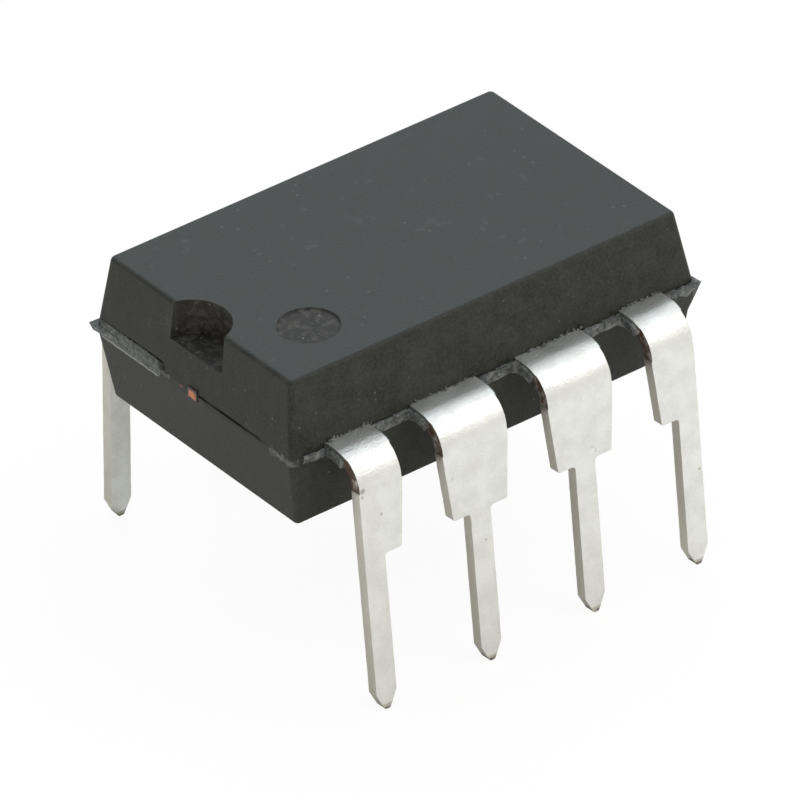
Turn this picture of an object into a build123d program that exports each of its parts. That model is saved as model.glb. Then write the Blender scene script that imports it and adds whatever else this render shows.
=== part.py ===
from build123d import *
from math import cos, radians, sin, tan
import os

# An eight-lead dual in-line package, in millimetres.
# Z = 0 is the plane of the lead tips, X runs along the lead rows and the
# orientation notch is at -X.  Leads 1 to 4 are the -Y row, counted towards +X,
# and leads 5 to 8 are the +Y row, counted towards -X.

# Moulded body, sized at the parting plane where the two mould halves met
body_length = 9.76
body_width = 6.30
upper_height = 1.57
lower_height = 1.49
upper_draft = 8.4
lower_draft = 7.3
corner_radius = 0.12
rim_radius = 0.10

# Orientation notch and the round dimple beside lead 1
notch_radius = 0.84
notch_depth = 0.80
dimple_diameter = 1.26
dimple_depth = 0.035
dimple_draft = 45.0
dimple_from_end = 1.71
dimple_from_side = 1.63

# Lead frame
leads_per_row = 4
lead_pitch = 2.54
lead_thickness = 0.25
lead_plane_height = 5.58
parting_drop = 0.08

# Outer part of a lead
shoulder_top_width = 1.57
shoulder_bottom_width = 1.31
shoulder_height = 3.39
leg_width = 0.48
tip_width = 0.15
tip_length = 0.37
step_inner_radius = 0.10
step_outer_radius = 0.05
flat_reach = 0.30
bend_radius = 0.70
splay_angle = 3.6
dambar_cut_depth = 0.015
dambar_cut_start = 28.0

# Resin left round the leads by the mould: a flange with corner lips, and strips
flash_reach = 0.09
flash_draft = 15.0
lip_reach = 0.08
lip_run = 0.80
lip_draft = 16.0
thin_lip_height = 0.17
deep_lip_height = 0.95
fade_run = 0.35
fade_margin = 0.04
strip_width = 0.06
strip_drop = 0.05
window_radius = 0.11

# Lead fingers inside the body
root_depth = 0.45
root_slope = 0.35
finger_width = 0.86
arm_width = 0.80
foot_width = 0.70
finger_gap = 0.30
lock_hole_diameter = 0.40

# Die paddle and its tie bars
paddle_length = 3.20
paddle_width = 2.30
paddle_downset = 0.25
tie_width = 0.29
tie_stub = 0.02
ramp_length = 0.35
ramp_clearance = 0.15

# Die and what holds it
die_length = 1.90
die_width = 1.50
die_thickness = 0.28
attach_thickness = 0.03
attach_margin = 0.06

# Gold bond wires
wire_diameter = 0.033
ball_diameter = 0.09
ball_height = 0.03
stitch_diameter = 0.10
stitch_height = 0.032
loop_height = 0.24
loop_fall = 0.16
wire_bend_radius = 0.07
pad_inset = 0.16
pad_offset = 0.48
wire_fall_share = 0.55
stitch_joint_share = 0.62
landing_inset = 0.20

# Derived levels and sizes
lead_bottom_height = lead_plane_height - lead_thickness
parting_height = lead_plane_height - parting_drop
top_height = parting_height + upper_height
half_width = body_width / 2
half_length = body_length / 2
bend_start = half_width + flat_reach
bend_angle = 90 - splay_angle
inner_bend_radius = bend_radius - lead_thickness
paddle_top = lead_plane_height - paddle_downset
die_top = paddle_top + attach_thickness + die_thickness
beyond = 2 * body_width

# A side view of the -Y row: the first coordinate runs outwards, the second up
SIDE = Plane(origin=(0, 0, 0), x_dir=(0, -1, 0), z_dir=(-1, 0, 0))


def level(height, up=True):
    """Horizontal sketch plane at a height, facing up or down."""
    return Plane(origin=(0, 0, height), x_dir=(1, 0, 0), z_dir=(0, 0, 1 if up else -1))


def half_turn(shape):
    """The same piece in the other row: half a turn about the body's centre."""
    return shape.rotate(Axis.Z, 180)


def column_x(column):
    """X of a lead's centre line, for columns counted from -X."""
    return (column - (leads_per_row - 1) / 2) * lead_pitch


def is_end_column(column):
    return column in (0, leads_per_row - 1)


def edge_offsets(column, shoulder_width):
    """Left and right edges of a lead about its centre line.

    A lead at the end of a row has no shoulder on its outer side.
    """
    left = leg_width / 2 if column == 0 else shoulder_width / 2
    right = leg_width / 2 if column == leads_per_row - 1 else shoulder_width / 2
    return -left, right


def at_bend(radius, angle):
    """Side-view point on the lead's bend, an angle on from where it starts."""
    across = bend_start + radius * sin(radians(angle))
    height = lead_plane_height - bend_radius + radius * cos(radians(angle))
    return across, height


def sheet_section(start, angle, leg_length, top_trim=0.0):
    """Side view of the lead sheet: a flat, a bend through an angle, then a leg."""
    outer = bend_radius - top_trim
    along = Vector(cos(radians(angle)), -sin(radians(angle)))
    outer_end = Vector(*at_bend(outer, angle))
    inner_end = Vector(*at_bend(inner_bend_radius, angle))
    outer_tip = outer_end + along * leg_length
    inner_tip = inner_end + along * leg_length
    top = lead_plane_height - top_trim
    outline = Line((start, top), (bend_start, top))
    outline += ThreePointArc((bend_start, top), at_bend(outer, angle / 2), outer_end)
    if leg_length:
        outline += Line(outer_end, outer_tip)
    outline += Line(outer_tip, inner_tip)
    if leg_length:
        outline += Line(inner_tip, inner_end)
    inner_middle = at_bend(inner_bend_radius, angle / 2)
    bottom_start = (bend_start, lead_bottom_height)
    outline += ThreePointArc(inner_end, inner_middle, bottom_start)
    outline += Line(bottom_start, (start, lead_bottom_height))
    outline += Line((start, lead_bottom_height), (start, top))
    return make_face(outline)


def across_x(section, x_from, x_to):
    """A side-view section made solid between two X positions."""
    return Pos(x_to, 0, 0) * extrude(SIDE * section, amount=x_to - x_from)


def leg_plane():
    """Plane of the straight leg's outer face, its origin at the tip's level."""
    outward = Vector(0, -cos(radians(splay_angle)), sin(radians(splay_angle)))
    across, height = at_bend(bend_radius, bend_angle)
    tip_across = across + height * tan(radians(splay_angle))
    return Plane(origin=(0, -tip_across, 0), x_dir=(1, 0, 0), z_dir=outward)


def blank_outline(column):
    """Front view of the punched sheet, from the blunt tip up past the bend."""
    left_top, right_top = edge_offsets(column, shoulder_top_width)
    left_low, right_low = edge_offsets(column, shoulder_bottom_width)
    bend_end = at_bend(bend_radius, bend_angle)[1]
    top = lead_plane_height + bend_radius
    right = [(tip_width / 2, 0), (leg_width / 2, tip_length)]
    left = [(-tip_width / 2, 0), (-leg_width / 2, tip_length)]
    if right_low > leg_width / 2:
        right += [(leg_width / 2, shoulder_height), (right_low, shoulder_height)]
        right += [(right_top, bend_end)]
    if left_low < -leg_width / 2:
        left += [(-leg_width / 2, shoulder_height), (left_low, shoulder_height)]
        left += [(left_top, bend_end)]
    points = right + [(right_top, top), (left_top, top)] + left[::-1]
    outline = make_face(Polyline(*points, close=True))
    step = [v for v in outline.vertices() if abs(v.Y - shoulder_height) < 1e-6]
    inner = [v for v in step if abs(v.X) < leg_width / 2 + 1e-6]
    outline = fillet(inner, step_inner_radius)
    step = [v for v in outline.vertices() if abs(v.Y - shoulder_height) < 1e-6]
    outer = [v for v in step if abs(v.X) > shoulder_bottom_width / 2 - 1e-6]
    return fillet(outer, step_outer_radius)


def outer_lead(column):
    """The bent part of a lead outside the body, in the -Y row."""
    left, right = edge_offsets(column, shoulder_top_width)
    start = half_width - root_depth
    sheet = across_x(sheet_section(start, bend_angle, lead_plane_height), left, right)
    plane = leg_plane()
    sheet &= extrude(plane * blank_outline(column), amount=beyond, both=True)
    cut_from = at_bend(bend_radius, dambar_cut_start)[0]
    cut_low = at_bend(bend_radius, bend_angle)[1]
    for edge in (left, right):
        cut = Box(2 * dambar_cut_depth, beyond, beyond, align=(Align.CENTER, Align.MAX, Align.MIN))
        sheet -= Pos(edge, -cut_from, cut_low) * cut
    above_tips = Box(beyond, 2 * beyond, beyond, align=(Align.CENTER, Align.CENTER, Align.MIN))
    return sheet & above_tips


def middle_finger():
    """Plan of a middle lead inside the body, about the lead's centre line."""
    root = shoulder_top_width / 2
    neck = finger_width / 2
    tip = paddle_width / 2 + finger_gap
    root_end = half_width - root_depth
    side = [(root, half_width), (root, root_end), (neck, root_end - root_slope), (neck, tip)]
    points = [(x, -y) for x, y in side] + [(-x, -y) for x, y in side[::-1]]
    hole_y = -(root_end - root_slope / 2)
    return make_face(Polyline(*points, close=True)) - Pos(0, hole_y) * Circle(lock_hole_diameter / 2)


def end_finger():
    """Plan of the first lead inside the body: an arm with a foot at the paddle."""
    outer, inner = edge_offsets(0, shoulder_top_width)
    arm = outer + arm_width
    root_end = half_width - root_depth
    foot_near = tie_width / 2 + finger_gap
    foot_far = foot_near + foot_width
    foot_tip = -column_x(0) - paddle_length / 2 - finger_gap
    side = [(outer, half_width), (outer, foot_near), (foot_tip, foot_near), (foot_tip, foot_far)]
    side += [(arm, foot_far), (arm, root_end - root_slope), (inner, root_end), (inner, half_width)]
    points = [(x, -y) for x, y in side]
    hole = Pos(outer + arm_width / 2, -(root_end - root_slope / 2)) * Circle(lock_hole_diameter / 2)
    return make_face(Polyline(*points, close=True)) - hole


def make_lead(column):
    """A whole lead of the -Y row, one punched and bent piece of sheet."""
    plan = end_finger() if is_end_column(column) else middle_finger()
    if column == leads_per_row - 1:
        plan = mirror(plan, about=Plane.YZ)
    finger = extrude(level(lead_bottom_height) * plan, amount=lead_thickness)
    return Pos(column_x(column), 0, 0) * (outer_lead(column) + finger)


def make_paddle():
    """Die paddle with a tie bar from each end, set down by a ramp."""
    paddle_bottom = paddle_top - lead_thickness
    plate = extrude(level(paddle_bottom) * Rectangle(paddle_length, paddle_width), amount=lead_thickness)
    end = half_length + tie_stub
    ramp_low = paddle_length / 2 + ramp_clearance
    ramp_high = ramp_low + ramp_length
    top = [(0, paddle_top), (ramp_low, paddle_top), (ramp_high, lead_plane_height), (end, lead_plane_height)]
    bottom = [(x, z - lead_thickness) for x, z in top[::-1]]
    section = make_face(Polyline(*top, *bottom, close=True))
    bar = extrude(Plane.XZ * section, amount=tie_width / 2, both=True)
    return plate + bar + mirror(bar, about=Plane.YZ)


def make_die_attach():
    """Adhesive film between the paddle and the die."""
    film = Rectangle(die_length + 2 * attach_margin, die_width + 2 * attach_margin)
    return extrude(level(paddle_top) * film, amount=attach_thickness)


def make_die():
    """Silicon die, centred on the paddle."""
    die = Rectangle(die_length, die_width)
    return extrude(level(paddle_top + attach_thickness) * die, amount=die_thickness)


def wire_ends(column):
    """Plan positions of a wire's ball on the die and its stitch on the lead."""
    side = -1 if column < leads_per_row / 2 else 1
    if is_end_column(column):
        foot_middle = tie_width / 2 + finger_gap + foot_width / 2
        landing = (side * (paddle_length / 2 + finger_gap + landing_inset), -foot_middle)
        pad = (side * (die_length / 2 - pad_inset), -(die_width / 2 - pad_offset))
    else:
        landing = (column_x(column), -(paddle_width / 2 + finger_gap + landing_inset))
        pad = (side * (die_length / 2 - pad_offset), -(die_width / 2 - pad_inset))
    return pad, landing


def make_bond_wire(column):
    """Ball on the die, a looped wire and a stitch on the lead's finger."""
    pad, landing = wire_ends(column)
    loop_top = die_top + ball_height + loop_height
    stitch_middle = lead_plane_height + stitch_height * stitch_joint_share
    fall_x = pad[0] + (landing[0] - pad[0]) * wire_fall_share
    fall_y = pad[1] + (landing[1] - pad[1]) * wire_fall_share
    route = [
        (*pad, die_top + ball_height / 2),
        (*pad, loop_top),
        (fall_x, fall_y, loop_top - loop_fall / 4),
        (*landing, stitch_middle),
    ]
    path = FilletPolyline(*route, radius=wire_bend_radius)
    section = Plane(origin=route[0], z_dir=(0, 0, 1)) * Circle(wire_diameter / 2)
    wire = sweep(section, path=path)
    ball = extrude(level(die_top) * Pos(*pad) * Circle(ball_diameter / 2), amount=ball_height)
    stitch = level(lead_plane_height) * Pos(*landing) * Circle(stitch_diameter / 2)
    return wire + ball + extrude(stitch, amount=stitch_height)


def mould_half(height, thickness, draft, up):
    """One drafted half of the body, rounded at its corners and its rim."""
    base = level(height, up) * Rectangle(body_length, body_width)
    block = extrude(base, amount=thickness, taper=draft)
    upright = [e for e in block.edges() if abs(e.tangent_at(0.5).Z) > 0.5]
    block = fillet(upright, corner_radius)
    face = block.faces().sort_by(Axis.Z)[-1 if up else 0]
    return fillet(face.edges(), rim_radius)


def flange():
    """Flange of resin along both lead rows, squeezed out between the mould halves.

    It fades out at the corner beside lead 1.
    """
    row = half_width + flash_reach
    back = half_width - lip_run
    inside = half_length - fade_margin
    points = [(-inside, -half_width + fade_margin), (-inside + fade_run, -row), (inside, -row)]
    points += [(inside, -back), (inside, row), (-inside, row), (-inside, -back)]
    plan = mirror(make_face(Polyline(*points, close=True)), about=Plane.XZ)
    height = parting_height - lead_bottom_height
    return extrude(level(parting_height, up=False) * plan, amount=height, taper=flash_draft)


def corner_lip(end, side, height):
    """Pointed lip of resin at a corner, given by the signs of its X and Y."""
    run_x = end * (half_length - lip_run)
    run_y = side * (half_width - lip_run)
    row = side * (half_width + flash_reach)
    tip = (end * (half_length + lip_reach), side * (half_width + flash_reach + lip_reach / 2))
    plan = make_face(Polyline((run_x, run_y), (end * half_length, run_y), tip, (run_x, row), close=True))
    plan = mirror(plan, about=Plane.XZ)
    return extrude(level(parting_height, up=False) * plan, amount=height, taper=lip_draft)


def gap_strips(column):
    """Resin between a lead and the next one of its row, with the punched window."""
    x_from = column_x(column) + edge_offsets(column, shoulder_top_width)[1]
    x_to = column_x(column + 1) + edge_offsets(column + 1, shoulder_top_width)[0]
    section = sheet_section(half_width - flash_reach, dambar_cut_start, 0, strip_drop)
    plate = across_x(section, x_from, x_to)
    window_width = x_to - x_from - 2 * strip_width
    window = Rectangle(window_width, beyond, align=(Align.CENTER, Align.MAX))
    window = fillet([v for v in window.vertices() if abs(v.Y) < 1e-6], window_radius)
    place = Pos((x_from + x_to) / 2, -(half_width + flash_reach))
    return plate - extrude(level(0) * place * window, amount=beyond)


def end_strip(side):
    """Resin along the outer edge of the last lead at one end of a row."""
    column = 0 if side < 0 else leads_per_row - 1
    edge = column_x(column) + side * leg_width / 2
    section = sheet_section(half_width - flash_reach, dambar_cut_start, 0, strip_drop)
    return across_x(section, min(edge, edge + side * strip_width), max(edge, edge + side * strip_width))


def make_body(inner_pieces):
    """The moulded body, with room for everything it holds.

    Three corners have a lip. The one at the corner beside lead 1 has broken away.
    """
    lips = [(1, -1, deep_lip_height), (1, 1, thin_lip_height), (-1, 1, thin_lip_height)]
    body = mould_half(parting_height, upper_height, upper_draft, up=True)
    body += mould_half(lead_bottom_height, lower_height, lower_draft, up=False)
    band = extrude(level(lead_bottom_height) * Rectangle(body_length, body_width),
                   amount=parting_height - lead_bottom_height)
    body += fillet(band.edges().filter_by(Axis.Z), corner_radius)
    body += flange()
    for end, side, height in lips:
        body += corner_lip(end, side, height)
    row_strips = [gap_strips(column) for column in range(leads_per_row - 1)]
    row_strips += [end_strip(-1), end_strip(1)]
    for strip in row_strips:
        body += strip
        body += half_turn(strip)
    notch = level(top_height - notch_depth) * Pos(-half_length, 0) * Circle(notch_radius)
    body -= extrude(notch, amount=beyond)
    dimple = Pos(-half_length + dimple_from_end, -half_width + dimple_from_side)
    rim = level(top_height, up=False) * mirror(dimple * Circle(dimple_diameter / 2), about=Plane.XZ)
    body -= extrude(rim, amount=dimple_depth, taper=dimple_draft)
    for piece in inner_pieces:
        body -= piece
    return body


def make_all():
    """Every piece of the package by its name."""
    row = range(leads_per_row)
    nodes = {}
    for column in row:
        nodes[f"lead_{column + 1}"] = make_lead(column)
    for column in row:
        nodes[f"lead_{column + 1 + leads_per_row}"] = half_turn(nodes[f"lead_{column + 1}"])
    nodes["die_paddle"] = make_paddle()
    nodes["die_attach"] = make_die_attach()
    nodes["silicon_die"] = make_die()
    for column in row:
        nodes[f"bond_wire_{column + 1}"] = make_bond_wire(column)
    for column in row:
        nodes[f"bond_wire_{column + 1 + leads_per_row}"] = half_turn(nodes[f"bond_wire_{column + 1}"])
    nodes["moulded_body"] = make_body(list(nodes.values()))
    return nodes


os.makedirs("parts", exist_ok=True)
for name, shape in make_all().items():
    export_step(shape, f"parts/{name}.step")
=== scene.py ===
"""Looks of an eight-lead dual in-line package, set on a plain white table."""
import logging
import math
from dataclasses import dataclass, field
from enum import Enum
from typing import Callable, Iterable, Sequence

import bmesh
import bpy
from mathutils import Matrix, Vector, noise


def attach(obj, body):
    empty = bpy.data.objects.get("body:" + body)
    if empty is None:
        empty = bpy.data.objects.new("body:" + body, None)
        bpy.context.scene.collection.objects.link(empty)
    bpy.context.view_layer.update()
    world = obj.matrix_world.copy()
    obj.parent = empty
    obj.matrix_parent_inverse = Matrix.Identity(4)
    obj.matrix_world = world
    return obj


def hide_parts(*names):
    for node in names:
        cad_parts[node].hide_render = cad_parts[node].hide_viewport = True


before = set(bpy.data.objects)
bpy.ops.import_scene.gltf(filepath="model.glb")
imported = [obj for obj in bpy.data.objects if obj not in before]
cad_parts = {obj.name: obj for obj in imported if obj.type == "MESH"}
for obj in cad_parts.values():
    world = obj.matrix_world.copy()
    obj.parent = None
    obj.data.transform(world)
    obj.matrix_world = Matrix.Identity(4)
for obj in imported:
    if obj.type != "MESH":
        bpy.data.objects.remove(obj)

MM = 0.001
BODY = "root"
log = logging.getLogger("package")

Colour = tuple[float, float, float]


class Row(Enum):
    """The two rows of leads, by the sign of their Y."""

    FRONT = -1
    BACK = 1


class Slot(Enum):
    """Material slots of the record."""

    RESIN = "mould_resin"
    PLATING = "lead_plating"
    COPPER = "copper"
    SILICON = "silicon"
    ADHESIVE = "die_adhesive"
    GOLD = "gold"


# --------------------------------------------------------------------------
# Node helpers
# --------------------------------------------------------------------------


class Tree:
    """A node tree with short calls for adding and joining nodes."""

    def __init__(self, tree: bpy.types.NodeTree) -> None:
        """Wraps a node tree and empties it."""
        self.tree = tree
        tree.nodes.clear()

    def add(self, kind: str, **settings: object) -> bpy.types.Node:
        """Adds a node and sets its plain properties."""
        node = self.tree.nodes.new(kind)
        for name, value in settings.items():
            setattr(node, name, value)
        return node

    def join(self, source: bpy.types.NodeSocket, target: bpy.types.NodeSocket) -> None:
        """Joins an output to an input."""
        self.tree.links.new(source, target)

    def feed(self, socket: bpy.types.NodeSocket, value: object) -> None:
        """Sets an input to a value, or joins it to an output."""
        if isinstance(value, bpy.types.NodeSocket):
            self.join(value, socket)
        else:
            socket.default_value = value

    def math(self, operation: str, *values: object, clamp: bool = False) -> bpy.types.NodeSocket:
        """A Math node's result."""
        node = self.add("ShaderNodeMath", operation=operation, use_clamp=clamp)
        for socket, value in zip(node.inputs, values):
            self.feed(socket, value)
        return node.outputs[0]

    def ramp(self, value: object, low: float, high: float,
             to_low: float = 0.0, to_high: float = 1.0) -> bpy.types.NodeSocket:
        """A value taken smoothly from one range to another and held at its ends."""
        node = self.add("ShaderNodeMapRange", interpolation_type="SMOOTHSTEP")
        for name, entry in (("Value", value), ("From Min", low), ("From Max", high),
                            ("To Min", to_low), ("To Max", to_high)):
            self.feed(node.inputs[name], entry)
        return node.outputs[0]

    def mix(self, factor: object, a: object, b: object,
            blend: str = "MIX") -> bpy.types.NodeSocket:
        """A mix of two colours."""
        node = self.add("ShaderNodeMix", data_type="RGBA", blend_type=blend)
        colours = [s for s in node.inputs if s.type == "RGBA"]
        self.feed(node.inputs[0], factor)
        for socket, value in zip(colours, (a, b)):
            self.feed(socket, (*value, 1.0) if isinstance(value, tuple) else value)
        return next(s for s in node.outputs if s.type == "RGBA")

    def noise(self, vector: object, scale: float, detail: float = 2.0,
              roughness: float = 0.5) -> bpy.types.NodeSocket:
        """A noise value over a vector in millimetres."""
        node = self.add("ShaderNodeTexNoise")
        self.feed(node.inputs["Vector"], vector)
        self.feed(node.inputs["Scale"], scale)
        self.feed(node.inputs["Detail"], detail)
        self.feed(node.inputs["Roughness"], roughness)
        return node.outputs[0]

    def split(self, vector: bpy.types.NodeSocket) -> list[bpy.types.NodeSocket]:
        """The X, Y and Z of a vector."""
        node = self.add("ShaderNodeSeparateXYZ")
        self.join(vector, node.inputs[0])
        return list(node.outputs)

    def group(self, tree: bpy.types.NodeTree, **values: object) -> bpy.types.Node:
        """Places a node group and feeds its inputs by name, with _ for a space."""
        node = self.add("ShaderNodeGroup", node_tree=tree)
        for name, value in values.items():
            self.feed(node.inputs[name.replace("_", " ")], value)
        return node


@dataclass(frozen=True)
class Effect:
    """A shader node group: an effect that several finishes share.

    Args:
        name: Name of the group.
        inputs: Names of its float inputs with their default values.
        outputs: Names of its float outputs.
        build: Fills the group, given its tree, its inputs and its outputs.
    """

    name: str
    inputs: dict[str, float]
    outputs: tuple[str, ...]
    build: Callable[[Tree, dict, dict], None]

    def make(self) -> bpy.types.NodeTree:
        """Returns the group's tree, built once."""
        found = bpy.data.node_groups.get(self.name)
        if found:
            return found
        tree = bpy.data.node_groups.new(self.name, "ShaderNodeTree")
        wrapped = Tree(tree)
        tree.interface.new_socket("Vector", in_out="INPUT", socket_type="NodeSocketVector")
        for name, value in self.inputs.items():
            made = tree.interface.new_socket(name, in_out="INPUT", socket_type="NodeSocketFloat")
            made.default_value = value
        for name in self.outputs:
            tree.interface.new_socket(name, in_out="OUTPUT", socket_type="NodeSocketFloat")
        entry = wrapped.add("NodeGroupInput")
        end = wrapped.add("NodeGroupOutput")
        self.build(wrapped, {s.name: s for s in entry.outputs}, {s.name: s for s in end.inputs})
        return tree


def build_grain(tree: Tree, given: dict, wanted: dict) -> None:
    """Fine grain with a softer mottle under it."""
    fine = tree.noise(given["Vector"], given["Fine Scale"], 2.0, 0.6)
    broad = tree.noise(given["Vector"], given["Broad Scale"], 3.0, 0.55)
    tree.join(tree.ramp(fine, 0.28, 0.72), wanted["Fine"])
    tree.join(tree.ramp(broad, 0.3, 0.7), wanted["Broad"])


def build_specks(tree: Tree, given: dict, wanted: dict) -> None:
    """Small ragged specks in a share of the cells of a cell pattern."""
    cells = tree.add("ShaderNodeTexVoronoi")
    tree.join(given["Vector"], cells.inputs["Vector"])
    tree.join(given["Scale"], cells.inputs["Scale"])
    size = tree.math("MULTIPLY", given["Size"], 0.5)
    ragged = tree.math("SUBTRACT", tree.noise(given["Vector"], 26.0, 3.0, 0.7), 0.5)
    apart = tree.math("ADD", cells.outputs["Distance"], tree.math("MULTIPLY", ragged, 0.55))
    near = tree.ramp(apart, given["Size"], size)
    chance = tree.split(cells.outputs["Color"])[0]
    chosen = tree.math("LESS_THAN", chance, given["Share"])
    tree.join(tree.math("MULTIPLY", near, chosen), wanted["Mask"])


def build_patches(tree: Tree, given: dict, wanted: dict) -> None:
    """Soft-edged patches that cover a share of the surface."""
    value = tree.noise(given["Vector"], given["Scale"], 4.0, 0.6)
    low = tree.math("SUBTRACT", given["Level"], given["Softness"])
    high = tree.math("ADD", given["Level"], given["Softness"])
    tree.join(tree.ramp(value, low, high), wanted["Mask"])


def build_band(tree: Tree, given: dict, wanted: dict) -> None:
    """A band between two heights with ragged edges, in millimetres."""
    ragged = tree.noise(given["Vector"], given["Ragged Scale"], 3.0, 0.6)
    shift = tree.math("MULTIPLY", tree.math("SUBTRACT", ragged, 0.5), given["Ragged"])
    height = tree.math("ADD", tree.split(given["Vector"])[2], shift)
    over = tree.ramp(height, tree.math("SUBTRACT", given["Low"], given["Softness"]),
                     tree.math("ADD", given["Low"], given["Softness"]))
    under = tree.ramp(height, tree.math("ADD", given["High"], given["Softness"]),
                      tree.math("SUBTRACT", given["High"], given["Softness"]))
    tree.join(tree.math("MULTIPLY", over, under), wanted["Mask"])


def build_ball(tree: Tree, given: dict, wanted: dict) -> None:
    """A soft ragged ball about a point, in millimetres."""
    total = None
    for side, name in zip(tree.split(given["Vector"]), "XYZ"):
        apart = tree.math("SUBTRACT", side, given[name])
        square = tree.math("MULTIPLY", apart, apart)
        total = square if total is None else tree.math("ADD", total, square)
    ragged = tree.noise(given["Vector"], 12.0, 3.0, 0.6)
    share = tree.math("MULTIPLY", given["Radius"], tree.math("ADD", ragged, 0.5))
    inner = tree.math("MULTIPLY", share, 0.3)
    tree.join(tree.ramp(tree.math("SQRT", total), share, inner), wanted["Mask"])


def build_window(tree: Tree, given: dict, wanted: dict) -> None:
    """A ragged window in Y and Z, in millimetres."""
    ragged = tree.noise(given["Vector"], given["Ragged Scale"], 3.0, 0.65)
    shift = tree.math("MULTIPLY", tree.math("SUBTRACT", ragged, 0.5), given["Ragged"])
    sides = tree.split(given["Vector"])
    mask = None
    for side, low, high in ((sides[1], "Y From", "Y To"), (sides[2], "Low", "High")):
        place = tree.math("ADD", side, shift)
        over = tree.ramp(place, tree.math("SUBTRACT", given[low], given["Softness"]),
                         tree.math("ADD", given[low], given["Softness"]))
        under = tree.ramp(place, tree.math("ADD", given[high], given["Softness"]),
                          tree.math("SUBTRACT", given[high], given["Softness"]))
        inside = tree.math("MULTIPLY", over, under)
        mask = inside if mask is None else tree.math("MULTIPLY", mask, inside)
    tree.join(mask, wanted["Mask"])


GRAIN = Effect("grain", {"Fine Scale": 14.0, "Broad Scale": 1.6}, ("Fine", "Broad"), build_grain)
SPECKS = Effect("specks", {"Scale": 5.0, "Size": 0.15, "Share": 0.2}, ("Mask",), build_specks)
PATCHES = Effect("patches", {"Scale": 1.0, "Level": 0.6, "Softness": 0.05}, ("Mask",),
                 build_patches)
BAND = Effect("height band", {"Low": 0.0, "High": 1.0, "Softness": 0.02, "Ragged": 0.0,
                              "Ragged Scale": 6.0}, ("Mask",), build_band)
BALL = Effect("ragged ball", {"X": 0.0, "Y": 0.0, "Z": 0.0, "Radius": 0.1}, ("Mask",), build_ball)
WINDOW = Effect("ragged window", {"Y From": 0.0, "Y To": 1.0, "Low": 0.0, "High": 1.0,
                                  "Softness": 0.02, "Ragged": 0.1, "Ragged Scale": 7.0},
                ("Mask",), build_window)


@dataclass(frozen=True)
class Mark:
    """A mark on the end face beside lead 1: a ragged window in Y and Z. Some are the resin's own
    scars and copper, others are painted shade and a painted highlight.

    Lengths are in millimetres. Depth is how deep its own grain is.
    """

    y_from: float
    y_to: float
    low: float
    high: float
    colour: Colour
    cover: float
    ragged: float = 0.06
    softness: float = 0.015
    depth: float = 0.0


END_MARKS_AND_PAINTED_LIGHT = (
    Mark(1.08, 3.02, 5.31, 5.66, (0.16, 0.165, 0.155), 0.85, ragged=0.10, depth=1.0),
    # Painted shadow: dark line under the scar's upper edge.
    Mark(1.02, 3.00, 5.655, 5.70, (0.004, 0.004, 0.004), 0.9),
    # Painted highlight: pale line where the scar's lower edge catches the light.
    Mark(1.15, 2.98, 5.27, 5.31, (0.36, 0.36, 0.33), 0.75),
    Mark(0.74, 1.10, 5.41, 5.50, (0.15, 0.15, 0.14), 0.75, depth=0.7),
    # Painted shade: dark colour inside the pit.
    Mark(0.95, 1.08, 5.49, 5.61, (0.003, 0.003, 0.003), 0.95),
    Mark(0.35, 0.42, 5.42, 5.48, (0.22, 0.06, 0.035), 0.8),
    # Painted shade: dark line along the small step of the parting line toward the near corner.
    Mark(-2.30, -0.16, 5.462, 5.525, (0.003, 0.003, 0.003), 0.85, ragged=0.05),
    Mark(-3.14, -2.45, 5.36, 5.50, (0.20, 0.20, 0.18), 0.6, ragged=0.30, softness=0.05,
         depth=0.6),
)


class Finish:
    """Base of the finishes: a material whose patterns read millimetres."""

    name: str = "finish"

    def make(self) -> bpy.types.Material:
        """Returns the finish's material, built once."""
        found = bpy.data.materials.get(self.name)
        if found:
            return found
        material = bpy.data.materials.new(self.name)
        material.use_nodes = True
        tree = Tree(material.node_tree)
        output = tree.add("ShaderNodeOutputMaterial")
        shader = tree.add("ShaderNodeBsdfPrincipled")
        tree.join(shader.outputs[0], output.inputs["Surface"])
        place = tree.add("ShaderNodeTexCoord")
        scale = tree.add("ShaderNodeVectorMath", operation="SCALE")
        scale.inputs["Scale"].default_value = 1 / MM
        tree.join(place.outputs["Object"], scale.inputs[0])
        self.dress(tree, shader, scale.outputs[0])
        return material

    def dress(self, tree: Tree, shader: bpy.types.Node, vector: bpy.types.NodeSocket) -> None:
        """Fills the material.

        Args:
            tree: The material's tree.
            shader: Its Principled shader.
            vector: Object coordinates in millimetres.
        """
        raise NotImplementedError

    @staticmethod
    def bump(tree: Tree, height: bpy.types.NodeSocket, depth: float, strength: float,
             normal: bpy.types.NodeSocket | None = None) -> bpy.types.NodeSocket:
        """A normal bumped by a height.

        Args:
            tree: The material's tree.
            height: Value from 0 to 1.
            depth: Depth of the bump in millimetres.
            strength: Share of the bump that is used.
            normal: A normal to start from.
        """
        node = tree.add("ShaderNodeBump")
        node.inputs["Distance"].default_value = depth * MM
        node.inputs["Strength"].default_value = strength
        tree.join(height, node.inputs["Height"])
        if normal is not None:
            tree.join(normal, node.inputs["Normal"])
        return node.outputs[0]


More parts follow.
